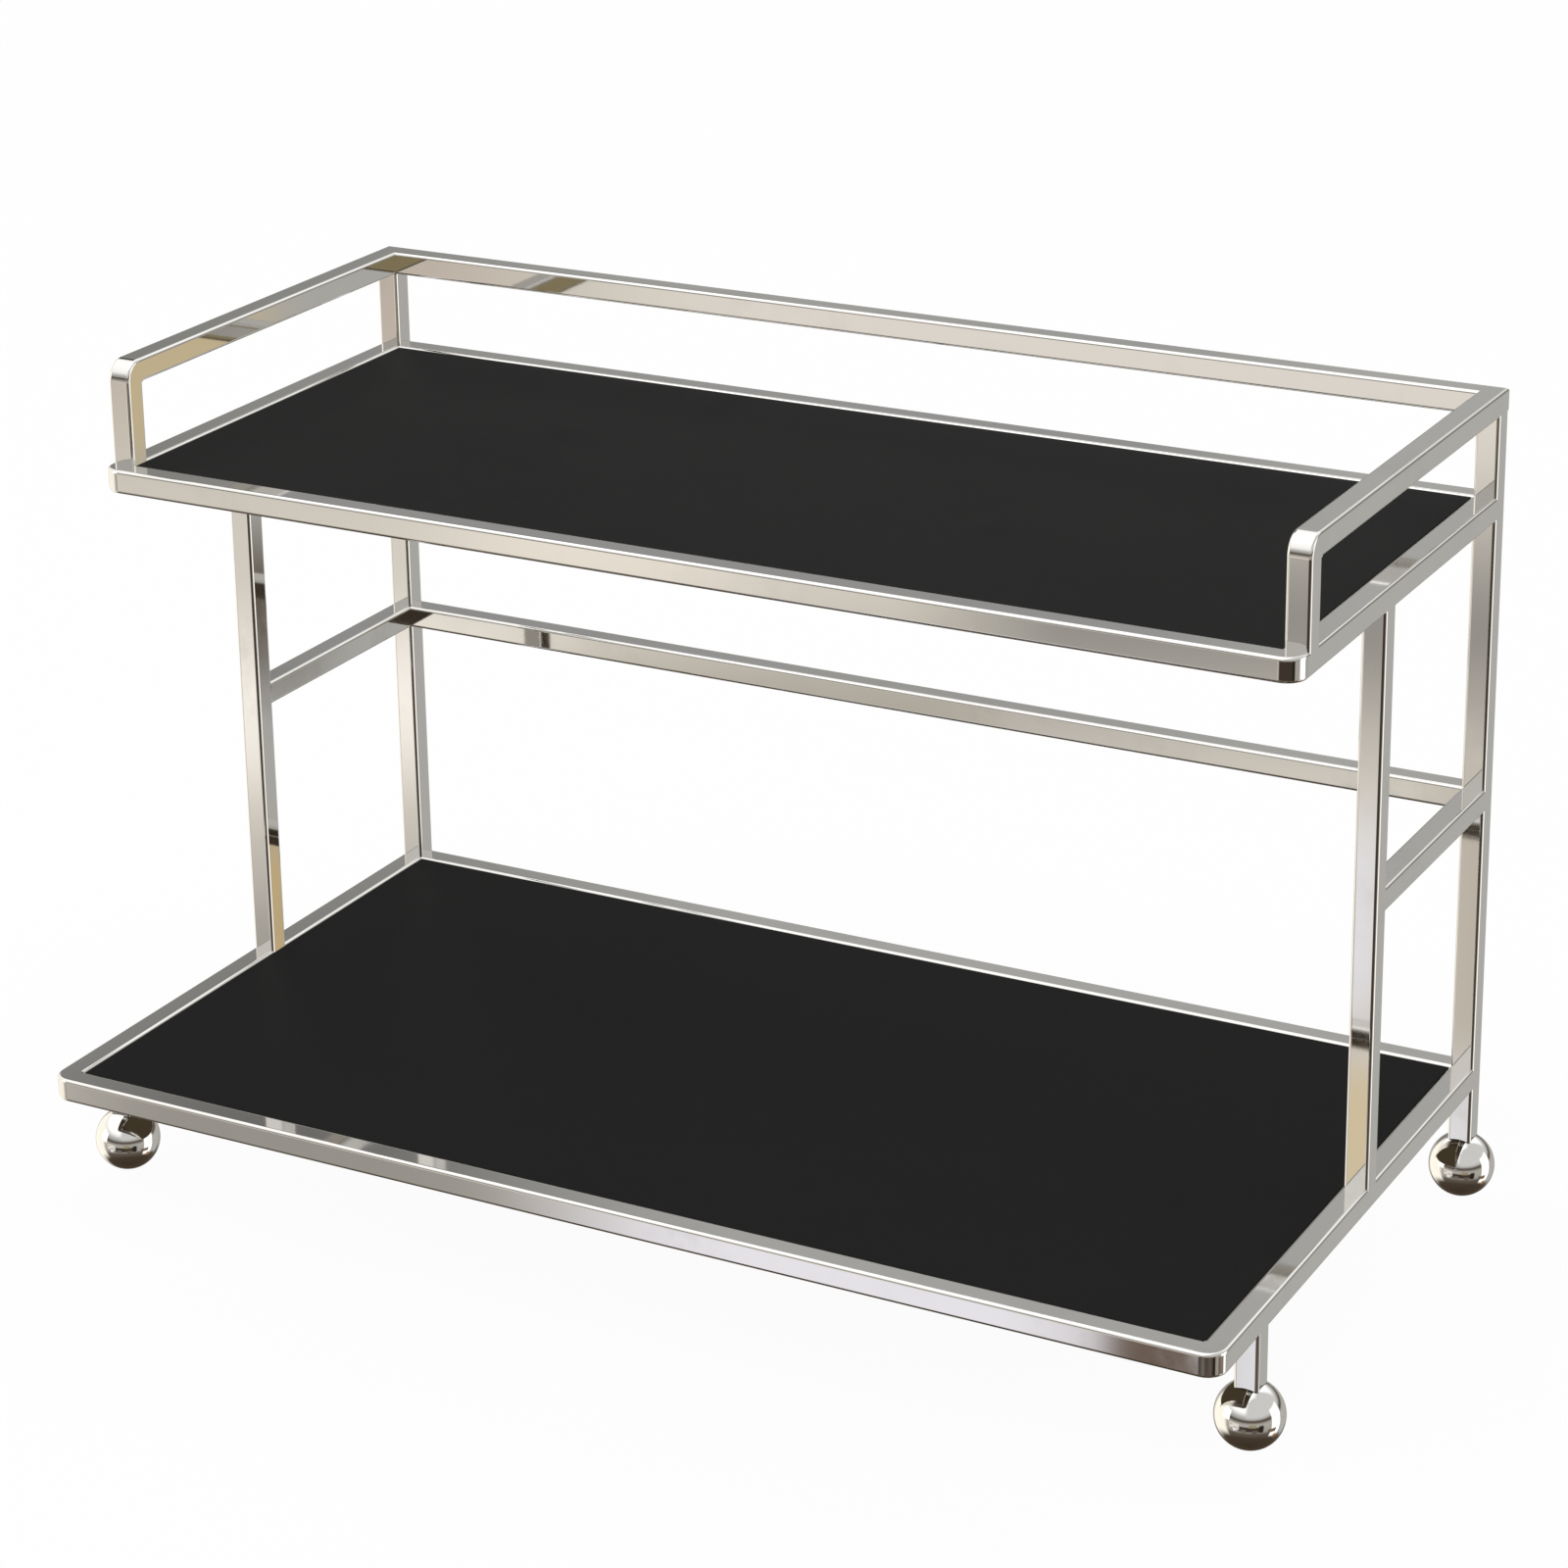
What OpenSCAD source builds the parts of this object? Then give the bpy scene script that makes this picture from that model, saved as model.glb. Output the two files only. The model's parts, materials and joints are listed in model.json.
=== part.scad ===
// Two-tier rolling cart: welded square-tube frame, two inset panels, guard rail and four ball casters.
// X runs to the right, Y to the back and Z up. The origin is on the floor, under the middle of the cart.

/* [Frame] */
// Overall width over the end frames
frame_w = 1000; // [830:1:1200]
// Depth of the lower tier, front face to rear face
lower_depth = 532; // [443:1:640]
// Depth of the upper tier, front face to rear face
upper_depth = 416; // [346:1:500]
// Height of the lower tier's top face above the floor
lower_top = 113; // [104:1:136]
// Height of the upper tier's top face above the floor
upper_top = 585; // [487:1:702]
// Height of the guard rail's top face above the upper tier
guard_h = 82; // [60:1:100]
// Distance from the rear face to the front face of the front posts
post_reach = 249.5; // [200:0.5:300]
// Distance from the lower tier's front face to the front legs' centres
leg_inset = 82; // [60:1:100]
// Distance from the upper tier's front face to the front face of the guard posts
guard_setback = 18; // [14:0.5:24]

/* [Square tube] */
// Outer width of the square tube
tube = 19; // [18:0.1:23]
// Wall of the square tube
wall = 1.2; // [1:0.1:1.5]
// Radius of the tube's long edges
edge_r = 2.6; // [2.1:0.1:3.2]
// Outside radius of each tier's front corners and of the guard's front corners
corner_r = 16; // [13:0.5:19]

/* [Panels] */
// Thickness of each panel
panel_t = 6; // [4:0.5:8]
// Depth of each panel's top face below the frame's top face
panel_recess = 1; // [0.5:0.1:2]
// Gap between a panel's edge and the frame all round
panel_gap = 0.6; // [0.3:0.1:1]
// Width of the ledge strips that carry the panels
ledge_w = 15; // [12:0.5:20]
// Thickness of the ledge strips
ledge_t = 2; // [1.5:0.1:3]
// Diameter of the pads between ledge and panel
pad_d = 10; // [8:0.5:11]
// Thickness of the pads
pad_t = 1.5; // [1:0.1:2]
// Distance from the end of a ledge to the centre of its first pad
pad_inset = 30; // [15:1:80]
// Number of pads along each ledge
pad_count = 3; // [2:1:5]

/* [Ball casters] */
// Outside radius of the ball-shaped hood
hood_r = 26; // [22:0.1:31.2]
// Wall of the hood
hood_wall = 1.6; // [1.2:0.1:2]
// Thickness of the hood's solid top, round the stem
roof_t = 8.5; // [7:0.5:10]
// Gap between the ball and the hollowed end of the leg
cope_gap = 0.5; // [0.3:0.1:0.8]
// Height of the hood's open rim above the floor
rim_clear = 3; // [2:0.5:5]
// Radius of the wheel over its tyre
wheel_r = 12; // [10:0.1:13]
// Width of the wheel
wheel_w = 12; // [10:0.1:14]
// Thickness of the tyre
tyre_t = 3.5; // [2.5:0.1:4.5]
// Distance from the swivel's axis back to the wheel's axle
trail = 5; // [3:0.5:6]
// Diameter of the axle
axle_d = 4; // [3:0.1:5]
// Diameter of the stem
stem_d = 8; // [6.6:0.1:9.6]
// Length of the plug inside the leg
plug_len = 30; // [22:1:36]
// Radial play of the stem in its plug and of the wheel on its axle
run_clear = 0.05; // [0.02:0.01:0.1]
// Thickness of the fork's metal
fork_t = 2; // [1.6:0.1:2.4]
// Gap between the wheel and each cheek of the fork
cheek_gap = 0.8; // [0.5:0.1:1.2]
// Thickness of the thrust washer between leg and hood
washer_t = 0.8; // [0.5:0.1:1.5]
// Thickness of the spring clip round the stem
clip_t = 1; // [0.8:0.1:1.2]

/* [Hidden] */
CORNERS = ["rear_right", "rear_left", "front_right", "front_left"];
CASTER_PARTS = ["leg_plug_", "stem_", "hood_", "fork_", "axle_", "wheel_hub_", "tyre_"];

$fn = 48;
eps = 0.01;

// Small sizes of the casters' pieces
plug_clear = 0.05;  // between the plug and each wall of the leg
seat_margin = 0.4;  // from the washer's edge to the plug's edge
washer_clear = 0.3; // round the stem, inside the thrust washer
plate_lip = 2.2;    // the fork's top plate past its cheeks
eye_wall = 2.8;     // metal round the axle, in a cheek
eye_inset = 0.1;    // from the cheek's upper corners to the plate's edge
rivet_lip = 1.8;    // riveted head of the stem past its shank
rivet_h = 1.5;
groove_depth = 0.8; // clip groove in the stem
groove_play = 0.2;  // the clip's play in its groove, above and below
clip_reach = 2;     // the clip's outer edge past the stem
clip_clear = 0.15;  // round the groove's root, inside the clip
clip_gap = 3;       // opening of the clip
pocket_room = 1.2;  // above the clip, in the plug's pocket
tip_rise = 1.5;     // the stem's tip above the plug
tip_h = 1;          // turned-down end of the stem
slot_side = 0.6;    // hood's slot past each side of the wheel
slot_end = 0.7;     // hood's slot past the front and back of the wheel
head_lip = 1;       // axle's heads past its shank
head_h = 1;
hub_step = 0.5;     // hub's boss past its body, on each side
boss_wall = 1.8;    // hub's boss round the axle
shoulder_r = 1.5;   // rounding of the tyre's shoulders
cut_over = 1;       // every cut runs this far past what it cuts
slant = 45;         // mitre at the guard's rear corners

// Places across the cart
half_w = frame_w / 2;
inner_w = half_w - tube;                        // inner faces of the end frames
leg_x = half_w - tube / 2;                      // centre line of the end frames
rear_y = (lower_depth - hood_r + tube / 2) / 2; // rear face, with the hoods' overhang balanced
rear_leg_y = rear_y - tube / 2;
lower_front_y = rear_y - lower_depth;
upper_front_y = rear_y - upper_depth;
front_post_y = rear_y - post_reach + tube / 2;
front_leg_y = lower_front_y + leg_inset;
guard_front_y = upper_front_y + guard_setback;

// Corners and heights
bend_r = min(corner_r, tube - 2 * wall); // a front corner stays inside its tube
guard_top = upper_top + guard_h;
brace_top = (lower_top + upper_top) / 2;
plug_w = tube - 2 * (wall + plug_clear);
seat_r = plug_w / 2 - seat_margin;              // flat on top of the hood, inside the leg
hood_top = hood_r + sqrt(pow(hood_r, 2) - pow(seat_r, 2));

// Inside the hood and the leg
hood_inner_r = hood_r - hood_wall;
ceiling = hood_top - roof_t;                    // flat roof inside the hood
cheek_x = wheel_w / 2 + cheek_gap;              // inner face of each cheek
plate_r = cheek_x + fork_t + plate_lip;         // round top plate of the fork
plug_bottom = hood_top + washer_t;
plug_top = plug_bottom + plug_len;
clip_r = stem_d / 2 + clip_reach;               // outside of the spring clip
clip_z = plug_top - clip_t - pocket_room;       // floor of the clip's pocket in the plug
groove_r = stem_d / 2 - groove_depth;           // root of the stem's groove
rivet_r = stem_d / 2 + rivet_lip;               // head of the stem under the fork

STEEL = [0.72, 0.71, 0.69];
BRIGHT = [0.82, 0.82, 0.83];
BLACK = [0.06, 0.06, 0.06];
NYLON = [0.75, 0.74, 0.70];

// ---- Square tube ----

// Square outline with rounded corners
module rounded_square(w, r) {
    square([w, w - 2 * r], center = true);
    square([w - 2 * r, w], center = true);
    for (x = [-1, 1], y = [-1, 1])
        translate([x * (w / 2 - r), y * (w / 2 - r)])
            circle(r);
}

// Outside of a square tube standing up from the origin
module bar(length) {
    linear_extrude(length)
        rounded_square(tube, edge_r);
}

// Space inside a square tube
module core(length) {
    linear_extrude(length)
        rounded_square(tube - 2 * wall, edge_r - wall);
}

module tube_z(length) {
    difference() {
        bar(length);
        translate([0, 0, -cut_over]) core(length + 2 * cut_over);
    }
}

module tube_y(length) {
    rotate([-90, 0, 0]) tube_z(length);
}

// Tube across the cart, centred on X = 0
module tube_x(length) {
    translate([-length / 2, 0, 0])
        rotate([0, 90, 0]) tube_z(length);
}

// Upright tube whose lower end is hollowed to sit close over the ball below it
module leg_tube(top) {
    difference() {
        translate([0, 0, hood_r]) tube_z(top - hood_r);
        translate([0, 0, hood_r]) sphere(hood_r + cope_gap, $fn = 96);
    }
}

// Outline with one flat end at X = 0 and two rounded corners at X = length
module half_outline(length, h, r) {
    translate([0, -h / 2]) square([length - r, h]);
    translate([length - 2 * r, -h / 2 + r]) square([2 * r, h - 2 * r]);
    for (y = [-1, 1])
        translate([length - r, y * (h / 2 - r)])
            circle(r);
}

// Rounded corner at the start of a rail: it fills one tube width along X and Y
module corner_block() {
    translate([bend_r, bend_r, 0])
        rotate([0, 0, 180])
            rotate_extrude(angle = 90)
                half_outline(bend_r, tube, edge_r);
    translate([bend_r, bend_r, 0])
        rotate([-90, 180, 0])
            linear_extrude(tube - bend_r)
                half_outline(bend_r, tube, edge_r);
    translate([bend_r, tube / 2, -tube / 2])
        cube([tube - bend_r, tube / 2, tube]);
}

// Hollow rail along X with its outer face at Y = 0 and a rounded corner at its start.
// The far end is open, or has a rounded corner as well.
module cornered_rail(length, far_corner) {
    stop = far_corner ? length - bend_r : length;
    inner_stop = far_corner ? length - tube : length;
    difference() {
        union() {
            translate([bend_r, tube / 2, 0])
                rotate([90, 0, 90])
                    linear_extrude(stop - bend_r)
                        mirror([1, 0, 0]) half_outline(tube / 2, tube, edge_r);
            translate([tube, tube / 2, 0])
                rotate([90, 0, 90])
                    linear_extrude(inner_stop - tube)
                        half_outline(tube / 2, tube, edge_r);
            corner_block();
            if (far_corner)
                translate([length, 0, 0]) mirror([1, 0, 0]) corner_block();
        }
        translate([bend_r, tube / 2, 0])
            rotate([0, 90, 0]) core(stop - bend_r + (far_corner ? 0 : cut_over));
    }
}

// Puts a right-hand piece on the left (-1) or the right (1)
module on_side(side) {
    mirror([side < 0 ? 1 : 0, 0, 0]) children();
}

// ---- Frame ----

module rear_post(side) {
    color(STEEL) translate([side * leg_x, rear_leg_y, 0])
        leg_tube(guard_top - tube);
}

module front_post(side) {
    color(STEEL) translate([side * leg_x, front_post_y, lower_top])
        tube_z(upper_top - tube - lower_top);
}

module front_leg(side) {
    color(STEEL) translate([side * leg_x, front_leg_y, 0])
        leg_tube(lower_top - tube);
}

module tier_front_rail(front_y, top) {
    color(STEEL) translate([-half_w, front_y, top - tube / 2])
        cornered_rail(frame_w, true);
}

module tier_side_rail(side, front_y, top) {
    color(STEEL) translate([side * leg_x, front_y + tube, top - tube / 2])
        tube_y(rear_y - front_y - 2 * tube);
}

module tier_rear_rail(top) {
    color(STEEL) translate([0, rear_leg_y, top - tube / 2])
        tube_x(2 * inner_w);
}

module side_brace(side) {
    color(STEEL) translate([side * leg_x, front_post_y + tube / 2, brace_top - tube / 2])
        tube_y(rear_leg_y - front_post_y - tube);
}

module guard_post(side) {
    color(STEEL) translate([side * leg_x, guard_front_y + tube / 2, upper_top])
        tube_z(guard_h - tube);
}

// Everything on the far side of the mitre at the guard's right rear corner
module mitre_cut(keep_side) {
    translate([inner_w, rear_y - tube, guard_top - 2 * tube])
        rotate([0, 0, slant])
            translate([-2 * tube, keep_side ? 0 : -3 * tube, 0])
                cube([6 * tube, 3 * tube, 3 * tube]);
}

// Side rail of the guard: a rounded front corner, a straight run and a mitred rear end
module guard_rail(side) {
    color(STEEL) on_side(side) difference() {
        translate([leg_x, guard_front_y, guard_top])
            rotate([-90, 0, 90])
                cornered_rail(rear_y - guard_front_y, false);
        mitre_cut(true);
    }
}

module guard_rear_rail() {
    color(STEEL) difference() {
        translate([0, rear_leg_y, guard_top - tube / 2])
            tube_x(frame_w);
        for (side = [-1, 1]) on_side(side) mitre_cut(false);
    }
}

// ---- Panels ----

module panel(front_y, top) {
    w = 2 * (inner_w - panel_gap);
    d = rear_y - front_y - 2 * tube - 2 * panel_gap;
    color(BLACK)
        translate([-w / 2, front_y + tube + panel_gap, top - panel_recess - panel_t])
            cube([w, d, panel_t]);
}

// Height of the ledges' upper face in a tier
function ledge_top(top) = top - panel_recess - panel_t - pad_t;

// Flat strip inside the frame under a panel's front or rear edge
module ledge(y, top) {
    color(STEEL)
        translate([-inner_w, y, ledge_top(top) - ledge_t])
            cube([2 * inner_w, ledge_w, ledge_t]);
}

module front_ledge(front_y, top) {
    ledge(front_y + tube, top);
}

module rear_ledge(top) {
    ledge(rear_y - tube - ledge_w, top);
}

module panel_pads() {
    reach = inner_w - pad_inset;
    color(BLACK)
        for (tier = [[lower_front_y, lower_top], [upper_front_y, upper_top]],
             y = [tier[0] + tube + ledge_w / 2, rear_y - tube - ledge_w / 2],
             i = [0 : pad_count - 1])
            translate([-reach + 2 * reach * i / (pad_count - 1), y, ledge_top(tier[1])])
                cylinder(d = pad_d, h = pad_t);
}

// ---- Ball casters ----

// Moves a caster from the origin to its leg
module at_leg(corner) {
    x = (corner == "rear_right" || corner == "front_right") ? leg_x : -leg_x;
    y = (corner == "rear_right" || corner == "rear_left") ? rear_leg_y : front_leg_y;
    translate([x, y, 0]) children();
}

// Square plug pressed into the bottom of the leg, with a pocket for the clip
module leg_plug() {
    color(NYLON) difference() {
        translate([0, 0, plug_bottom])
            linear_extrude(plug_len)
                rounded_square(plug_w, edge_r - wall);
        cylinder(r = stem_d / 2 + run_clear, h = plug_top + cut_over);
        translate([0, 0, clip_z])
            cylinder(r = clip_r, h = plug_len);
    }
}

module thrust_washer() {
    color(NYLON) translate([0, 0, hood_top]) difference() {
        cylinder(r = seat_r, h = washer_t);
        translate([0, 0, -cut_over])
            cylinder(r = stem_d / 2 + washer_clear, h = washer_t + 2 * cut_over);
    }
}

// Open spring ring that drops into the stem's groove
module stem_clip() {
    color(BRIGHT) translate([0, 0, clip_z]) difference() {
        cylinder(r = clip_r, h = clip_t);
        translate([0, 0, -cut_over])
            cylinder(r = groove_r + clip_clear, h = clip_t + 2 * cut_over);
        translate([0, -clip_gap / 2, -cut_over])
            cube([clip_r + cut_over, clip_gap, clip_t + 2 * cut_over]);
    }
}

// Stem with its riveted head under the fork, its clip groove and a turned-down tip
module stem() {
    tip = plug_top + tip_rise;
    color(BRIGHT) difference() {
        union() {
            translate([0, 0, ceiling - fork_t])
                cylinder(d = stem_d, h = tip - ceiling + fork_t - tip_h);
            translate([0, 0, tip - tip_h - eps])
                cylinder(r = groove_r, h = tip_h + eps);
            translate([0, 0, ceiling - fork_t - rivet_h])
                cylinder(r = rivet_r, h = rivet_h);
        }
        translate([0, 0, clip_z - groove_play]) difference() {
            cylinder(r = stem_d, h = clip_t + 2 * groove_play);
            translate([0, 0, -cut_over])
                cylinder(r = groove_r, h = clip_t + 2 * (groove_play + cut_over));
        }
    }
}

// Ball-shaped shell, flat on top for the washer and open below for the wheel
module hood() {
    slot_half = wheel_w / 2 + slot_side;
    slot_reach = wheel_r + slot_end;
    color(BRIGHT) difference() {
        translate([0, 0, hood_r]) sphere(hood_r, $fn = 96);
        difference() {
            translate([0, 0, hood_r]) sphere(hood_inner_r, $fn = 96);
            translate([-hood_r, -hood_r, ceiling]) cube([2 * hood_r, 2 * hood_r, hood_r]);
        }
        translate([-hood_r, -hood_r, hood_top]) cube([2 * hood_r, 2 * hood_r, hood_r]);
        translate([-hood_r, -hood_r, -cut_over])
            cube([2 * hood_r, 2 * hood_r, rim_clear + cut_over]);
        translate([0, 0, ceiling - cut_over])
            cylinder(d = stem_d, h = roof_t + 2 * cut_over);
        translate([-slot_half, trail - slot_reach, 0])
            cube([2 * slot_half, 2 * slot_reach, wheel_r]);
    }
}

// Fork: a round top plate and two cheeks that carry the axle
module fork() {
    eye_r = axle_d / 2 + eye_wall;
    top_half = sqrt(pow(plate_r, 2) - pow(cheek_x + fork_t, 2)) - eye_inset;
    color(STEEL) difference() {
        union() {
            translate([0, 0, ceiling - fork_t])
                cylinder(r = plate_r, h = fork_t);
            for (side = [-1, 1])
                translate([side > 0 ? cheek_x : -cheek_x - fork_t, 0, 0])
                    rotate([90, 0, 90])
                        linear_extrude(fork_t) {
                            translate([trail, wheel_r]) circle(eye_r);
                            polygon([[trail - eye_r, wheel_r], [trail + eye_r, wheel_r],
                                     [top_half, ceiling - fork_t / 2],
                                     [-top_half, ceiling - fork_t / 2]]);
                        }
        }
        cylinder(d = stem_d, h = 2 * hood_r);
        translate([0, trail, wheel_r]) rotate([0, 90, 0])
            cylinder(d = axle_d, h = 2 * hood_r, center = true);
    }
}

module axle() {
    length = 2 * (cheek_x + fork_t);
    color(BRIGHT) translate([0, trail, wheel_r]) rotate([0, 90, 0]) {
        cylinder(d = axle_d, h = length, center = true);
        for (side = [-1, 1])
            translate([0, 0, side * (length + head_h) / 2])
                cylinder(d = axle_d + 2 * head_lip, h = head_h, center = true);
    }
}

module wheel_hub() {
    color(NYLON) translate([0, trail, wheel_r]) rotate([0, 90, 0]) difference() {
        union() {
            cylinder(r = wheel_r - tyre_t, h = wheel_w - 2 * hub_step, center = true);
            cylinder(r = axle_d / 2 + boss_wall, h = wheel_w, center = true);
        }
        cylinder(r = axle_d / 2 + run_clear, h = wheel_w + 2 * cut_over, center = true);
    }
}

// Tyre with rounded shoulders
module tyre() {
    half = wheel_w / 2 - hub_step;
    color(BLACK) translate([0, trail, wheel_r]) rotate([0, 90, 0])
        rotate_extrude($fn = 96) {
            translate([wheel_r - tyre_t, -half]) square([tyre_t - shoulder_r, 2 * half]);
            translate([wheel_r - tyre_t, shoulder_r - half])
                square([tyre_t, 2 * (half - shoulder_r)]);
            for (side = [-1, 1])
                translate([wheel_r - shoulder_r, side * (half - shoulder_r)]) circle(shoulder_r);
        }
}

rear_post(-1);  // rear_post_left
rear_post(1);  // rear_post_right
front_post(-1);  // front_post_left
front_post(1);  // front_post_right
front_leg(-1);  // front_leg_left
front_leg(1);  // front_leg_right
tier_front_rail(lower_front_y, lower_top);  // lower_front_rail
tier_side_rail(-1, lower_front_y, lower_top);  // lower_side_rail_left
tier_side_rail(1, lower_front_y, lower_top);  // lower_side_rail_right
tier_rear_rail(lower_top);  // lower_rear_rail
tier_front_rail(upper_front_y, upper_top);  // upper_front_rail
tier_side_rail(-1, upper_front_y, upper_top);  // upper_side_rail_left
tier_side_rail(1, upper_front_y, upper_top);  // upper_side_rail_right
tier_rear_rail(upper_top);  // upper_rear_rail
guard_post(-1);  // guard_post_left
guard_post(1);  // guard_post_right
guard_rail(-1);  // guard_rail_left
guard_rail(1);  // guard_rail_right
guard_rear_rail();
side_brace(-1);  // side_brace_left
side_brace(1);  // side_brace_right
tier_rear_rail(brace_top);  // rear_brace
panel(lower_front_y, lower_top);  // lower_panel
panel(upper_front_y, upper_top);  // upper_panel
front_ledge(lower_front_y, lower_top);  // lower_ledge_front
rear_ledge(lower_top);  // lower_ledge_rear
front_ledge(upper_front_y, upper_top);  // upper_ledge_front
rear_ledge(upper_top);  // upper_ledge_rear
panel_pads();
for (corner = CORNERS) at_leg(corner) thrust_washer();  // thrust_washers
for (corner = CORNERS) at_leg(corner) stem_clip();  // stem_clips
for (corner = CORNERS) {
    at_leg(corner) leg_plug();
    at_leg(corner) stem();
    at_leg(corner) hood();
    at_leg(corner) fork();
    at_leg(corner) axle();
    at_leg(corner) wheel_hub();
    at_leg(corner) tyre();
}
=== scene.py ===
"""Looks of the two-tier rolling cart: polished tube, black panels and ball casters, in a soft studio."""

import json
import math

import bmesh
import bpy
from mathutils import Matrix, Vector


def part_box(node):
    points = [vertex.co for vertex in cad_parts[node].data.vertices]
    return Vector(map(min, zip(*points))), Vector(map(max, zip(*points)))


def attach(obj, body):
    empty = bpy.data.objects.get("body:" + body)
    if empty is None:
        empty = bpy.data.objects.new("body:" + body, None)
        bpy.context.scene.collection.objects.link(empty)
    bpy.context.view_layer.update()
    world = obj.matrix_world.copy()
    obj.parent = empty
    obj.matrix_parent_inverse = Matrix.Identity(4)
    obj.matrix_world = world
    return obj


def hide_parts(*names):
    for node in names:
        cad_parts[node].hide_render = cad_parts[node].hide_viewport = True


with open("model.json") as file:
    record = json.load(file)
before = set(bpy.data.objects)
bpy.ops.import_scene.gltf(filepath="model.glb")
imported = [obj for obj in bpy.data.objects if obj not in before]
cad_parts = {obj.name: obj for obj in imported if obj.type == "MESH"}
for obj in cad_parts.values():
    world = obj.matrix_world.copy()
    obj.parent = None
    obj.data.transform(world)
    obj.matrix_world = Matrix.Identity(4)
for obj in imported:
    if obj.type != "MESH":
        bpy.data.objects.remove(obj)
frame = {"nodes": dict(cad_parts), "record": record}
bpy.context.view_layer.update()

MM = 0.001

# The camera: where it looks, from where, and through which lens
VIEW_TARGET = Vector((-0.039, 0.108, 0.493))
VIEW_AZIMUTH = 28.47
VIEW_ELEVATION = 18.67
VIEW_ROLL = -0.81
VIEW_DISTANCE = 3.387
LENS = 98.5
FILM_WIDTH = 36.0
SHIFT_Y = -0.14

# The square tube, and the weld fills where tubes meet: the steps round each rounded edge, where a fill
# stops short of the tube's face, and how close two tubes' boxes are where they meet
TUBE = 19 * MM
EDGE_R = 2.6 * MM
FILL_STEPS = 7
FILL_END = 0.999 * TUBE / 2
MEETING_GAP = 0.02 * MM

# The boards of the two tiers: corner radius and eased edge, and the facets round each
BOARD_CORNER = 1.2 * MM
CORNER_FACETS = 4
BOARD_EASE = 0.5 * MM
EASE_FACETS = 3

# Edges bent by more than this stay sharp
SHARP_ANGLE = math.radians(32)

# The stage
WHITE = (1.0, 1.0, 1.0, 1.0)
FLOOR_RADIUS = 30.0
FLOOR_SIDES = 128
FLOOR_PAPER = (0.9, 0.9, 0.9, 1.0)
FLOOR_GLOW = 0.92
GLOW_STRENGTH = 1.03
CARD_DROP = 1 * MM
# The glow of the card under the lower tier: a painted reflection of the tier's shaded underside
PAINTED_REFLECTION_OLIVE = (0.060, 0.045, 0.026, 1.0)
SOFTBOX_WIDTH = 2.6
SOFTBOX_DEPTH = 1.8
SOFTBOX_PLACE = (-0.4, -0.5, 2.6)
SOFTBOX_ENERGY = 8.0


# ---- Node building ----

def set_sockets(tree, node, sockets):
    """Gives a node's sockets their values, and links those that are given another node's output."""
    for key, value in sockets.items():
        if isinstance(value, bpy.types.NodeSocket):
            tree.links.new(value, node.inputs[key])
        else:
            node.inputs[key].default_value = value
    return node


def add(tree, kind, sockets=None, **settings):
    """A node in a tree, with its settings and its sockets."""
    made = tree.nodes.new("ShaderNode" + kind)
    for name, value in settings.items():
        setattr(made, name, value)
    return set_sockets(tree, made, sockets or {})


def place(tree, group, sockets):
    """A copy of a node group inside another tree, with its sockets."""
    made = tree.nodes.new("ShaderNodeGroup")
    made.node_tree = group
    return set_sockets(tree, made, sockets)


def empty_tree(holder):
    """The node tree of a material or a world, cleared."""
    holder.use_nodes = True
    holder.node_tree.nodes.clear()
    return holder.node_tree


def maths(tree, operation, a, b=0.0, clamp=False):
    """One sum on one or two values."""
    return add(tree, "Math", {0: a, 1: b}, operation=operation, use_clamp=clamp).outputs[0]


def wrap_degrees(tree, angle):
    """An angle brought between -180 and 180 degrees."""
    return add(tree, "Math", {0: angle, 1: 180.0, 2: -180.0}, operation="WRAP").outputs[0]


def remap(tree, value, low, high, to_low=0.0, to_high=1.0, smooth=False):
    """Value taken from one range to another, and held at its ends."""
    kind = "SMOOTHSTEP" if smooth else "LINEAR"
    sockets = {"Value": value, "From Min": low, "From Max": high, "To Min": to_low, "To Max": to_high}
    return add(tree, "MapRange", sockets, interpolation_type=kind).outputs[0]


def mix_colours(tree, factor, a, b):
    """A colour between a and b. The Mix node takes its colours at 6 and 7, and puts one out at 2."""
    a, b = (c if isinstance(c, bpy.types.NodeSocket) else (*c, 1.0) for c in (a, b))
    return add(tree, "Mix", {0: factor, 6: a, 7: b}, data_type="RGBA").outputs[2]


def on_piece(tree):
    """The place on the piece, in metres."""
    return add(tree, "TexCoord").outputs["Object"]


def noise(tree, where, scale, detail, roughness=0.5, distortion=0.0):
    """Cloudy noise over a piece."""
    sockets = {"Vector": where, "Scale": scale, "Detail": detail,
               "Roughness": roughness, "Distortion": distortion}
    return add(tree, "TexNoise", sockets).outputs["Fac"]


def ramp(tree, value, stops):
    """Colours along a value, from (place, colour) pairs."""
    made = add(tree, "ValToRGB", {"Fac": value})
    band = made.color_ramp
    while len(band.elements) < len(stops):
        band.elements.new(0.5)
    for element, (place, colour) in zip(band.elements, stops):
        element.position = place
        element.color = (*colour, 1.0)
    return made.outputs["Color"]


def new_group(name, inputs, outputs):
    """An empty node group. Returns its tree, its input node and its output node."""
    tree = bpy.data.node_groups.new(name, "ShaderNodeTree")
    for label, (kind, value) in inputs.items():
        socket = tree.interface.new_socket(label, in_out="INPUT", socket_type="NodeSocket" + kind)
        socket.default_value = value
    for label, kind in outputs.items():
        tree.interface.new_socket(label, in_out="OUTPUT", socket_type="NodeSocket" + kind)
    return tree, tree.nodes.new("NodeGroupInput"), tree.nodes.new("NodeGroupOutput")


# ---- Shared effects ----

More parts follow.
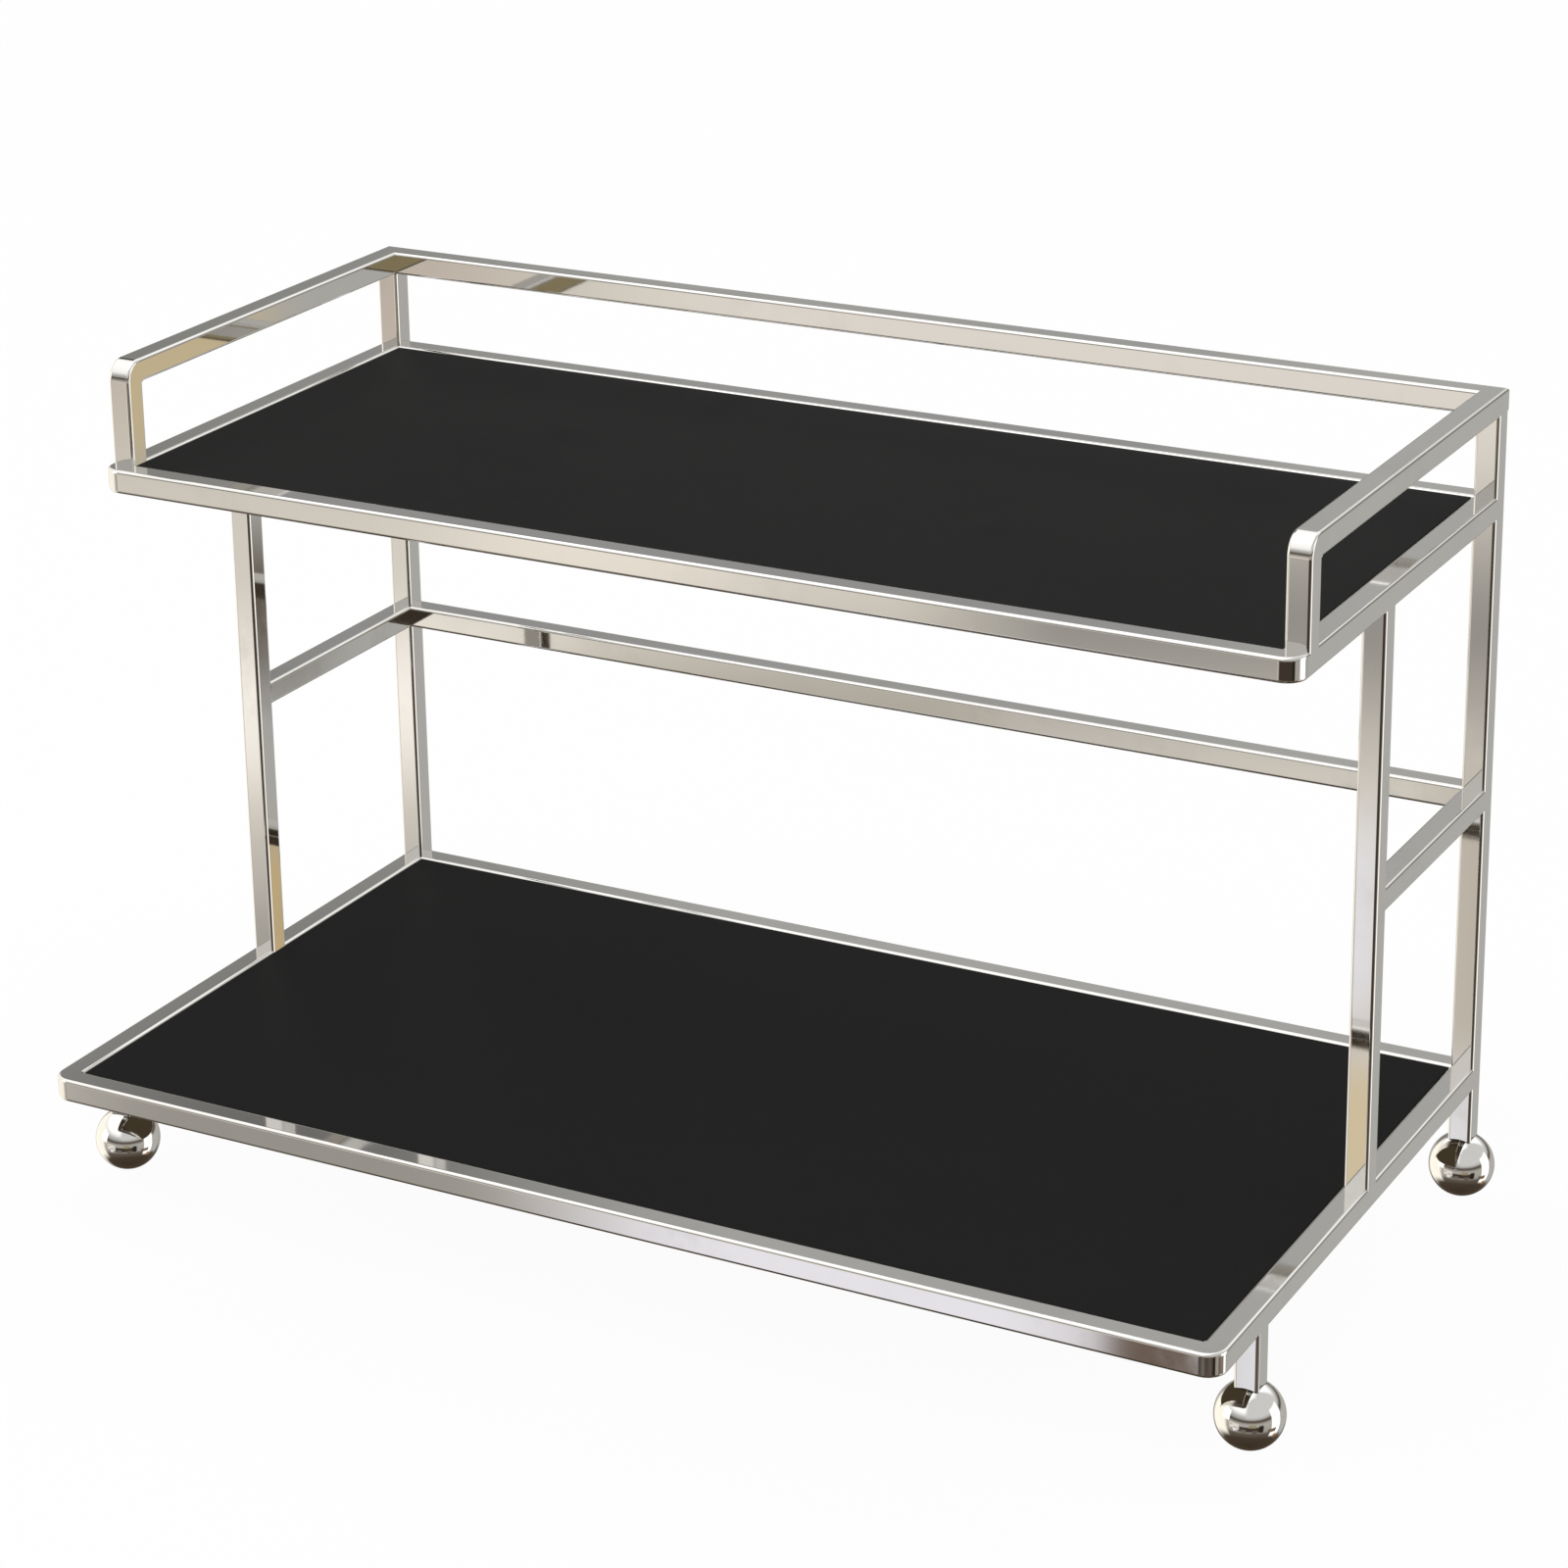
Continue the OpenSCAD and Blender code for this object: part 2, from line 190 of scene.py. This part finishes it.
def make_hand_marks():
    """Faint smears and finger marks that dull a polished surface here and there."""
    tree, given, result = new_group(
        "hand_marks", {"Size": ("Float", 9.0), "Amount": ("Float", 1.0)}, {"Mask": "Float"})
    where = on_piece(tree)
    patches = noise(tree, where, given.outputs["Size"], 3.0, roughness=0.6, distortion=0.4)
    smear_size = maths(tree, "MULTIPLY", given.outputs["Size"], 7.0)
    streaks = noise(tree, where, smear_size, 5.0, roughness=0.65)
    soft = remap(tree, patches, 0.46, 0.72, smooth=True)
    fine = remap(tree, streaks, 0.35, 0.7)
    mask = maths(tree, "MULTIPLY", maths(tree, "MULTIPLY", soft, fine), given.outputs["Amount"], clamp=True)
    tree.links.new(mask, result.inputs["Mask"])
    return tree


def make_fine_grain():
    """Even, fine grain: a height and a mask that any moulded, plated or coated surface shows close up."""
    tree, given, result = new_group(
        "fine_grain", {"Scale": ("Float", 900.0), "Stretch": ("Vector", (1.0, 1.0, 1.0))},
        {"Height": "Float", "Mask": "Float"})
    stretch = {0: on_piece(tree), 1: given.outputs["Stretch"]}
    drawn = add(tree, "VectorMath", stretch, operation="MULTIPLY").outputs[0]
    grain = noise(tree, drawn, given.outputs["Scale"], 4.0, roughness=0.7)
    tree.links.new(grain, result.inputs["Height"])
    tree.links.new(remap(tree, grain, 0.38, 0.62), result.inputs["Mask"])
    return tree


def make_settled_dust():
    """A thin film of dust that lies on faces that look up, in uneven patches."""
    tree, given, result = new_group(
        "settled_dust", {"Amount": ("Float", 0.3), "Patch Scale": ("Float", 6.0)}, {"Mask": "Float"})
    upward = add(tree, "SeparateXYZ", {"Vector": add(tree, "NewGeometry").outputs["Normal"]}).outputs["Z"]
    lying = remap(tree, upward, 0.3, 0.95, smooth=True)
    where = on_piece(tree)
    patches = noise(tree, where, given.outputs["Patch Scale"], 6.0, roughness=0.62)
    specks = noise(tree, where, 1400.0, 2.0)
    uneven = maths(tree, "MULTIPLY", remap(tree, patches, 0.3, 0.75), remap(tree, specks, 0.45, 0.7))
    settled = maths(tree, "MULTIPLY", lying, uneven)
    mask = maths(tree, "MULTIPLY", settled, given.outputs["Amount"], clamp=True)
    tree.links.new(mask, result.inputs["Mask"])
    return tree


def make_hairlines():
    """Very fine scratches from wiping, in two crossing directions."""
    tree, given, result = new_group("hairlines", {"Scale": ("Float", 60.0)}, {"Mask": "Float"})
    where = on_piece(tree)
    lines = []
    for turn, squeeze in ((0.5, 40.0), (-0.9, 28.0)):
        turned = add(tree, "Mapping", {"Vector": where, "Rotation": (turn, 0.7 * turn, turn),
                                       "Scale": (1.0, squeeze, 1.0)}).outputs[0]
        lines.append(remap(tree, noise(tree, turned, given.outputs["Scale"], 2.0), 0.66, 0.72))
    tree.links.new(maths(tree, "MAXIMUM", *lines), result.inputs["Mask"])
    return tree


HAND_MARKS = make_hand_marks()
FINE_GRAIN = make_fine_grain()
SETTLED_DUST = make_settled_dust()
HAIRLINES = make_hairlines()


# ---- Materials ----

def start_material(name):
    """A new material with its Principled shader. Returns the material, its tree and the shader."""
    material = bpy.data.materials.new(name)
    tree = empty_tree(material)
    shader = add(tree, "BsdfPrincipled")
    add(tree, "OutputMaterial", {"Surface": shader.outputs[0]})
    return material, tree, shader


def bump(tree, shader, height, strength, distance):
    """Fine relief on a surface, at most as deep as the distance."""
    made = add(tree, "Bump", {"Height": height, "Strength": strength, "Distance": distance})
    tree.links.new(made.outputs["Normal"], shader.inputs["Normal"])


def polished_metal(name, clean, dulled, smooth, smeared, wave):
    """Mirror-polished plate: hand marks and hairlines dull it, and shallow waves bend its reflections."""
    material, tree, shader = start_material(name)
    marks = place(tree, HAND_MARKS, {"Size": 8.0, "Amount": 1.0}).outputs["Mask"]
    lines = place(tree, HAIRLINES, {"Scale": 45.0}).outputs["Mask"]
    dust = place(tree, SETTLED_DUST, {"Amount": 0.12}).outputs["Mask"]
    dulling = maths(tree, "MAXIMUM", marks, maths(tree, "MULTIPLY", lines, 0.15))
    colour = mix_colours(tree, dulling, clean, dulled)
    colour = mix_colours(tree, dust, colour, (0.62, 0.60, 0.56))
    tree.links.new(colour, shader.inputs["Base Color"])
    tree.links.new(remap(tree, dulling, 0.0, 1.0, smooth, smeared), shader.inputs["Roughness"])
    shader.inputs["Metallic"].default_value = 1.0
    bump(tree, shader, noise(tree, on_piece(tree), 5.5, 1.5), 1.0, wave)
    return material


def panel_laminate():
    """Satin black laminate: a fine pebbled face, cloudy sheen, light wiping marks and a little dust."""
    material, tree, shader = start_material("satin_black_laminate")
    grain = place(tree, FINE_GRAIN, {"Scale": 1500.0})
    marks = place(tree, HAND_MARKS, {"Size": 3.5, "Amount": 1.0}).outputs["Mask"]
    dust = place(tree, SETTLED_DUST, {"Amount": 0.15, "Patch Scale": 4.0}).outputs["Mask"]
    colour = mix_colours(
        tree, grain.outputs["Mask"], (0.0130, 0.0130, 0.0132), (0.0185, 0.0185, 0.0185))
    colour = mix_colours(tree, dust, colour, (0.05, 0.048, 0.045))
    tree.links.new(colour, shader.inputs["Base Color"])
    tree.links.new(remap(tree, marks, 0.0, 1.0, 0.46, 0.54), shader.inputs["Roughness"])
    shader.inputs["Specular IOR Level"].default_value = 0.02
    bump(tree, shader, grain.outputs["Height"], 0.25, 0.02 * MM)
    return material


def zinc_plate():
    """Bright zinc on pressed steel: soft mottling, drawn grain and a faint straw tint."""
    material, tree, shader = start_material("bright_zinc")
    grain = place(tree, FINE_GRAIN, {"Scale": 500.0, "Stretch": (1.0, 1.0, 0.15)})
    mottle = noise(tree, on_piece(tree), 160.0, 3.0)
    colour = mix_colours(tree, remap(tree, mottle, 0.35, 0.65), (0.50, 0.50, 0.51), (0.62, 0.60, 0.55))
    tree.links.new(colour, shader.inputs["Base Color"])
    tree.links.new(remap(tree, grain.outputs["Mask"], 0.0, 1.0, 0.22, 0.38), shader.inputs["Roughness"])
    shader.inputs["Metallic"].default_value = 1.0
    bump(tree, shader, grain.outputs["Height"], 0.4, 0.02 * MM)
    return material


def moulded_plastic():
    """Natural nylon: milky and slightly waxy, with flow marks."""
    material, tree, shader = start_material("natural_nylon")
    grain = place(tree, FINE_GRAIN, {"Scale": 700.0})
    flow = noise(tree, on_piece(tree), 90.0, 4.0, distortion=1.2)
    colour = mix_colours(tree, remap(tree, flow, 0.3, 0.7), (0.66, 0.64, 0.57), (0.76, 0.75, 0.70))
    tree.links.new(colour, shader.inputs["Base Color"])
    tree.links.new(remap(tree, grain.outputs["Mask"], 0.0, 1.0, 0.36, 0.5), shader.inputs["Roughness"])
    bump(tree, shader, grain.outputs["Height"], 0.35, 0.03 * MM)
    return material


def rubber(name, colour_low, colour_high, dust_amount):
    """Moulded rubber: matt, finely pitted, with dust in the pits."""
    material, tree, shader = start_material(name)
    grain = place(tree, FINE_GRAIN, {"Scale": 420.0})
    dust = place(tree, HAND_MARKS, {"Size": 60.0, "Amount": dust_amount}).outputs["Mask"]
    colour = mix_colours(tree, grain.outputs["Mask"], colour_low, colour_high)
    colour = mix_colours(tree, dust, colour, (0.20, 0.185, 0.165))
    tree.links.new(colour, shader.inputs["Base Color"])
    tree.links.new(remap(tree, grain.outputs["Mask"], 0.0, 1.0, 0.62, 0.82), shader.inputs["Roughness"])
    bump(tree, shader, grain.outputs["Height"], 0.6, 0.06 * MM)
    return material


FINISHES = {
    "polished_steel": polished_metal(
        "polished_tube", clean=(0.74, 0.73, 0.71), dulled=(0.66, 0.65, 0.63),
        smooth=0.04, smeared=0.09, wave=0.09 * MM),
    "ball_chrome": polished_metal(
        "polished_ball", clean=(0.80, 0.80, 0.79), dulled=(0.70, 0.70, 0.69),
        smooth=0.03, smeared=0.07, wave=0.015 * MM),
    "black_panel": panel_laminate(),
    "zinc_steel": zinc_plate(),
    "nylon": moulded_plastic(),
    "pad_rubber": rubber("pad_rubber", (0.018, 0.018, 0.018), (0.035, 0.034, 0.033), 0.2),
    "tyre_rubber": rubber("tyre_rubber", (0.022, 0.022, 0.023), (0.05, 0.049, 0.047), 0.6),
}


def finish_cad_nodes():
    """Gives every CAD node the finish of its material slot."""
    for row in frame["record"]["subparts"]:
        data = frame["nodes"][row["node"]].data
        data.materials.clear()
        data.materials.append(FINISHES[row["material_slot"]])


# ---- New pieces ----

def to_object(name, bm, slot):
    """Turns a bmesh into a piece of the cart's frame, with flat faces kept flat and rounded ones smooth."""
    bmesh.ops.recalc_face_normals(bm, faces=bm.faces)
    mesh = bpy.data.meshes.new(name)
    bm.to_mesh(mesh)
    bm.free()
    mesh.materials.append(FINISHES[slot])
    mesh.shade_smooth()
    mesh.set_sharp_from_angle(angle=SHARP_ANGLE)
    obj = bpy.data.objects.new(name, mesh)
    bpy.context.scene.collection.objects.link(obj)
    weighted = obj.modifiers.new("even_normals", "WEIGHTED_NORMAL")
    weighted.keep_sharp = True
    weighted.weight = 100
    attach(obj, "frame")
    return obj


def board(node):
    """The panel of one tier, with rounded corners and eased edges. The tubes' reflections look past it."""
    low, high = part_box(node)
    bm = bmesh.new()
    size = high - low
    whole = Matrix.Translation((low + high) / 2) @ Matrix.Diagonal((*size, 1.0))
    bmesh.ops.create_cube(bm, size=1.0, matrix=whole)
    upright = [e for e in bm.edges if abs(e.verts[0].co.z - e.verts[1].co.z) > size.z / 2]
    bmesh.ops.bevel(
        bm, geom=upright, offset=BOARD_CORNER, segments=CORNER_FACETS, profile=0.5, affect="EDGES")
    rims = [e for e in bm.edges if abs(e.verts[0].co.z - e.verts[1].co.z) < size.z / 2]
    bmesh.ops.bevel(bm, geom=rims, offset=BOARD_EASE, segments=EASE_FACETS, profile=0.5, affect="EDGES")
    piece = to_object(node + "_board", bm, "black_panel")
    piece.visible_glossy = False
    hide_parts(node)


def touching(butting, receiving):
    """Where a tube's end meets another's face: the end's centre, the way in, and the face's long way."""
    low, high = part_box(butting)
    face_low, face_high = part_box(receiving)
    for axis in range(3):
        for end, face, sign in ((high, face_low, 1.0), (low, face_high, -1.0)):
            if abs(end[axis] - face[axis]) < MEETING_GAP:
                centre = (low + high) / 2
                centre[axis] = end[axis]
                inward = Vector((0, 0, 0))
                inward[axis] = sign
                extent = face_high - face_low
                long_way = Vector((0, 0, 0))
                long_way[max(range(3), key=lambda i: extent[i])] = 1.0
                return centre, inward, long_way
    raise ValueError(f"{butting} does not end on {receiving}")


def outline_reach(along):
    """How far the tube's outline reaches to the side, at a place across the tube."""
    flat = TUBE / 2 - EDGE_R
    past = max(0.0, abs(along) - flat)
    return flat + math.sqrt(max(0.0, EDGE_R ** 2 - past ** 2))


def fill_stations():
    """Places across the tube for the slices of a weld fill: close together on the rounded edges."""
    flat = TUBE / 2 - EDGE_R
    angles = [math.pi / 2 * i / FILL_STEPS for i in range(FILL_STEPS)]
    arc = [flat + EDGE_R * math.sin(a) for a in angles]
    return sorted([-x for x in arc] + arc + [FILL_END, -FILL_END])


def weld_fill(bm, centre, inward, long_way, side):
    """The ground-flush weld in the notch between a tube's end and the rounded edge of the tube it meets."""
    flat = TUBE / 2 - EDGE_R
    sideways = inward.cross(long_way) * side
    rings = []
    for along in fill_stations():
        reach = outline_reach(along)
        ring = [(flat, 0.0), (reach, 0.0)]
        for step in range(FILL_STEPS):
            across = reach + (flat - reach) * step / FILL_STEPS
            ring.append((across, EDGE_R - math.sqrt(EDGE_R ** 2 - (across - flat) ** 2)))
        rings.append([bm.verts.new(centre + sideways * u + inward * w + long_way * along) for u, w in ring])
    for before, after in zip(rings, rings[1:]):
        for i in range(len(before)):
            j = (i + 1) % len(before)
            bm.faces.new((before[i], before[j], after[j], after[i]))
    bm.faces.new(rings[0])
    bm.faces.new(list(reversed(rings[-1])))


def welds():
    """The weld fills of the whole frame, one piece for each tube that others are welded to."""
    for hand in ("left", "right"):
        outer = -1.0 if hand == "left" else 1.0
        onto = {
            "rear_post_" + hand: [
                "lower_side_rail_" + hand, "upper_side_rail_" + hand, "side_brace_" + hand,
                "lower_rear_rail", "upper_rear_rail", "rear_brace"],
            "front_post_" + hand: ["side_brace_" + hand],
            "lower_side_rail_" + hand: ["front_post_" + hand, "front_leg_" + hand],
            "upper_side_rail_" + hand: ["front_post_" + hand, "guard_post_" + hand],
        }
        for receiving, others in onto.items():
            bm = bmesh.new()
            for butting in others:
                where = touching(butting, receiving)
                for side in (-1.0, 1.0):
                    weld_fill(bm, *where, side)
            to_object("welds_on_" + receiving, bm, "polished_steel")
        bm = bmesh.new()
        outsides = {"guard_rail_" + hand: Vector((outer, 0, 0)), "guard_rear_rail": Vector((0, 1, 0))}
        for rail, outward in outsides.items():
            centre, inward, long_way = touching("rear_post_" + hand, rail)
            side = 1.0 if inward.cross(long_way).dot(outward) > 0 else -1.0
            weld_fill(bm, centre, inward, long_way, side)
        to_object("welds_under_guard_" + hand, bm, "polished_steel")


# ---- Studio ----

# What the studio holds, seen from the cart: the way to the middle of each patch (degrees from the front
# towards the right, then above the floor), its half width and half height, its softness and its light.
# Each patch lies over the ones before it.
STUDIO = [
    ("backdrop_light", -158, 22, 16, 13, 4, (0.48, 0.48, 0.47)),
    ("backdrop_shade", -139, 16, 9, 8, 5, (0.27, 0.27, 0.255)),
    ("backdrop_grey", -151, 18, 7, 2.5, 2, (0.35, 0.35, 0.35)),
    ("backdrop_dark", -138, 33, 9, 9, 4, (0.11, 0.105, 0.10)),
    ("left_window", -90, -10, 34, 34, 8, (1.25, 1.18, 1.04)),
    ("front_left_window", -56, 6, 12, 13, 3, (1.9, 1.85, 1.8)),
    ("right_wall", 78, 45, 70, 32, 8, (0.72, 0.71, 0.69)),
    ("corner_dark", 25, -23, 40, 8, 3, (0.06, 0.045, 0.034)),
    ("corner_olive", 31, -12.5, 11, 4.5, 2, (0.36, 0.30, 0.17)),
    ("corner_grey_green", 2, -30, 8, 6, 3, (0.19, 0.17, 0.14)),
    ("corner_red_brown", 38, -31, 8, 6, 3, (0.15, 0.11, 0.085)),
    ("corner_black", 58, -22, 7, 11, 3, (0.03, 0.022, 0.016)),
    ("right_window", 112, -12, 18, 34, 4, (1.7, 1.66, 1.6)),
    ("right_brown", 98, -32, 16, 5, 3, (0.19, 0.14, 0.10)),
    ("right_rust", 121, -45, 9, 4, 3.5, (0.42, 0.18, 0.05)),
    ("right_floor", 148, -24, 20, 18, 4, (0.51, 0.505, 0.485)),
    ("gold_low", 142.5, -23.7, 2.6, 1.7, 0.5, (0.66, 0.51, 0.28)),
    ("gold_high", 142, -15.4, 2.4, 1.6, 0.6, (0.69, 0.57, 0.36)),
    ("gold_shadow", 143.3, -19, 1.5, 0.9, 0.7, (0.13, 0.10, 0.075)),
    ("front_pale", -27, -17, 16, 9, 3, (0.86, 0.81, 0.73)),
    ("front_sand", -37, -14, 5, 2.6, 2, (0.66, 0.58, 0.50)),
    ("front_white", -21, -15.5, 9, 2, 1.5, (0.96, 0.90, 0.83)),
    ("front_glow", -31, -18.3, 2, 1.2, 1.5, (1.08, 1.0, 0.9)),
    ("front_grey", -21, -19.4, 4.8, 1.2, 1.4, (0.37, 0.355, 0.33)),
    ("front_left_glow", -35, -20.3, 2.2, 0.9, 0.9, (1.25, 1.2, 1.12)),
    ("front_tan", -28.5, -20.8, 3, 1, 1, (0.56, 0.52, 0.46)),
    ("front_low_grey", -35.8, -26, 3.2, 3.4, 1.6, (0.41, 0.39, 0.36)),
    ("front_low_bright", -27.6, -28.5, 4, 3.5, 1.8, (1.06, 1.04, 1.12)),
    ("front_lavender", -21.3, -23.3, 1.4, 1.3, 0.6, (1.02, 1.02, 1.08)),
    ("front_beige", -17.7, -23.2, 1.5, 1.8, 0.5, (0.66, 0.60, 0.52)),
    ("front_leg_white", -20.3, -27.7, 2, 2.4, 0.5, (1.0, 1.0, 1.05)),
    ("front_low_brown", -23, -29.4, 0.8, 1.2, 0.3, (0.16, 0.11, 0.08)),
    ("front_gold", -20.6, -26.3, 1, 1.1, 0.25, (0.83, 0.69, 0.45)),
]

# Light all round at each height, as polished metal sees it: (degrees above the floor, light)
SURROUND = [
    (-90, (0.05, 0.035, 0.022)),
    (-55, (0.07, 0.05, 0.034)),
    (-38, (0.14, 0.115, 0.09)),
    (-30, (0.42, 0.39, 0.35)),
    (-9, (0.50, 0.48, 0.44)),
    (-4, (0.40, 0.37, 0.33)),
    (1, (0.13, 0.10, 0.08)),
    (5, (0.13, 0.11, 0.09)),
    (10, (0.42, 0.41, 0.39)),
    (17, (0.60, 0.59, 0.57)),
    (30, (1.25, 1.24, 1.22)),
    (90, (1.6, 1.6, 1.6)),
]

# Light all round at each height, as it falls on faces that aren't polished: mostly from the sides
ROOM = [
    (-90, (0.6, 0.6, 0.6)),
    (0, (1.9, 1.9, 1.88)),
    (20, (1.9, 1.9, 1.9)),
    (38, (0.25, 0.25, 0.25)),
    (90, (0.1, 0.1, 0.1)),
]
# The brightest light in those two tables, or more
BRIGHTEST = 2.0


def make_soft_patch():
    """One soft-edged patch of the studio: how much of it lies in a given direction."""
    floats = ("Azimuth", "Elevation", "Centre Azimuth", "Centre Elevation",
              "Half Width", "Half Height", "Softness")
    tree, given, result = new_group(
        "soft_patch", {label: ("Float", 0.0) for label in floats}, {"Mask": "Float"})
    turn = maths(tree, "SUBTRACT", given.outputs["Azimuth"], given.outputs["Centre Azimuth"])
    aside = maths(tree, "ABSOLUTE", wrap_degrees(tree, turn))
    climb = maths(tree, "SUBTRACT", given.outputs["Elevation"], given.outputs["Centre Elevation"])
    above = maths(tree, "ABSOLUTE", climb)
    masks = []
    for distance, half in ((aside, "Half Width"), (above, "Half Height")):
        outer = maths(tree, "ADD", given.outputs[half], given.outputs["Softness"])
        inner = maths(tree, "SUBTRACT", given.outputs[half], given.outputs["Softness"])
        masks.append(remap(tree, distance, outer, inner, smooth=True))
    tree.links.new(maths(tree, "MULTIPLY", *masks), result.inputs["Mask"])
    return tree


def light_by_height(tree, elevation, table):
    """Light that depends on the height above the floor only."""
    height = remap(tree, elevation, -90.0, 90.0)
    stops = [((angle + 90) / 180, tuple(c / BRIGHTEST for c in colour)) for angle, colour in table]
    colour = ramp(tree, height, stops)
    return add(tree, "VectorMath", {0: colour, "Scale": BRIGHTEST}, operation="SCALE").outputs[0]


def either(tree, factor, first, second):
    """The first shader, or the second where the factor is 1."""
    return add(tree, "MixShader", {0: factor, 1: first.outputs[0], 2: second.outputs[0]})


def studio_world():
    """Polished faces see STUDIO's patches, others get the room's plain light, and the camera sees white."""
    world = bpy.data.worlds.new("soft_studio")
    bpy.context.scene.world = world
    tree = empty_tree(world)
    way = add(tree, "SeparateXYZ", {"Vector": add(tree, "TexCoord").outputs["Generated"]})
    front = maths(tree, "MULTIPLY", way.outputs["Y"], -1.0)
    azimuth = maths(tree, "DEGREES", maths(tree, "ARCTAN2", way.outputs["X"], front))
    elevation = maths(tree, "DEGREES", maths(tree, "ARCSINE", way.outputs["Z"]))
    colour = light_by_height(tree, elevation, SURROUND)
    patch = make_soft_patch()
    for _, turn, climb, half_width, half_height, softness, light in STUDIO:
        mask = place(tree, patch, {
            "Azimuth": azimuth, "Elevation": elevation, "Centre Azimuth": turn, "Centre Elevation": climb,
            "Half Width": half_width, "Half Height": half_height, "Softness": softness}).outputs["Mask"]
        colour = mix_colours(tree, mask, colour, light)
    path = add(tree, "LightPath")
    reflected = add(tree, "Background", {"Color": colour, "Strength": 1.0})
    room = add(tree, "Background", {"Color": light_by_height(tree, elevation, ROOM), "Strength": 1.0})
    behind = add(tree, "Background", {"Color": WHITE, "Strength": 1.0})
    around = either(tree, path.outputs["Is Glossy Ray"], room, reflected)
    seen = either(tree, path.outputs["Is Camera Ray"], around, behind)
    add(tree, "OutputWorld", {"Surface": seen.outputs[0]})


def stage_sheet(name, bm, material_name):
    """Turns a bmesh into a sheet of the stage. Returns the sheet and the empty tree of its material."""
    mesh = bpy.data.meshes.new(name)
    bm.to_mesh(mesh)
    bm.free()
    obj = bpy.data.objects.new(name, mesh)
    bpy.context.scene.collection.objects.link(obj)
    material = bpy.data.materials.new(material_name)
    mesh.materials.append(material)
    return obj, empty_tree(material)


def floor():
    """A plain white floor. It glows, so that shadows on it stay faint, and reflections look past it."""
    bm = bmesh.new()
    bmesh.ops.create_circle(bm, cap_ends=True, segments=FLOOR_SIDES, radius=FLOOR_RADIUS)
    obj, tree = stage_sheet("studio_floor", bm, "floor_paper")
    paper = add(tree, "BsdfDiffuse", {"Color": FLOOR_PAPER})
    glow = add(tree, "Emission", {"Color": WHITE, "Strength": GLOW_STRENGTH})
    lit = either(tree, FLOOR_GLOW, paper, glow)
    glossy = add(tree, "LightPath").outputs["Is Glossy Ray"]
    seen = either(tree, glossy, lit, add(tree, "BsdfTransparent"))
    add(tree, "OutputMaterial", {"Surface": seen.outputs[0]})


def under_card():
    """A dark card under the lower tier, glowing dark olive: a painted reflection of the tier's shaded
    underside. Only reflections from below it, as in the balls, see it.
    """
    low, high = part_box("lower_panel")
    bm = bmesh.new()
    ring = [bm.verts.new((x, y, low.z - CARD_DROP))
            for x, y in ((low.x, low.y), (low.x, high.y), (high.x, high.y), (high.x, low.y))]
    bm.faces.new(ring)
    obj, tree = stage_sheet("under_card", bm, "painted_reflection_card")
    obj.visible_camera = obj.visible_diffuse = obj.visible_shadow = False
    # Painted reflection: the card glows a set dark olive in place of the lower tier's shaded underside
    card = add(tree, "Emission", {"Color": PAINTED_REFLECTION_OLIVE, "Strength": 1.0})
    above = add(tree, "NewGeometry").outputs["Backfacing"]
    seen = either(tree, above, card, add(tree, "BsdfTransparent"))
    add(tree, "OutputMaterial", {"Surface": seen.outputs[0]})


def overhead_light():
    """A large softbox over the cart."""
    data = bpy.data.lights.new("overhead_softbox", "AREA")
    data.shape = "RECTANGLE"
    data.size = SOFTBOX_WIDTH
    data.size_y = SOFTBOX_DEPTH
    data.energy = SOFTBOX_ENERGY
    obj = bpy.data.objects.new("overhead_softbox", data)
    obj.location = SOFTBOX_PLACE
    bpy.context.scene.collection.objects.link(obj)


def camera():
    """The camera at the set azimuth, elevation, roll and distance from its target."""
    turn, climb, roll = (math.radians(a) for a in (VIEW_AZIMUTH, VIEW_ELEVATION, VIEW_ROLL))
    back = Vector((math.sin(turn) * math.cos(climb), -math.cos(turn) * math.cos(climb), math.sin(climb)))
    level = Vector((math.cos(turn), math.sin(turn), 0.0))
    rise = back.cross(level)
    right = level * math.cos(roll) + rise * math.sin(roll)
    up = rise * math.cos(roll) - level * math.sin(roll)
    data = bpy.data.cameras.new("camera")
    data.sensor_width = FILM_WIDTH
    data.lens = LENS
    data.shift_y = SHIFT_Y
    obj = bpy.data.objects.new("camera", data)
    bpy.context.scene.collection.objects.link(obj)
    rotation = Matrix((right, up, back)).transposed().to_4x4()
    obj.matrix_world = Matrix.Translation(VIEW_TARGET + back * VIEW_DISTANCE) @ rotation
    bpy.context.scene.camera = obj


# ---- The scene ----

finish_cad_nodes()
board("lower_panel")
board("upper_panel")
welds()
studio_world()
floor()
under_card()
overhead_light()
camera()
bpy.context.scene.view_settings.view_transform = "Standard"

bpy.context.view_layer.update()
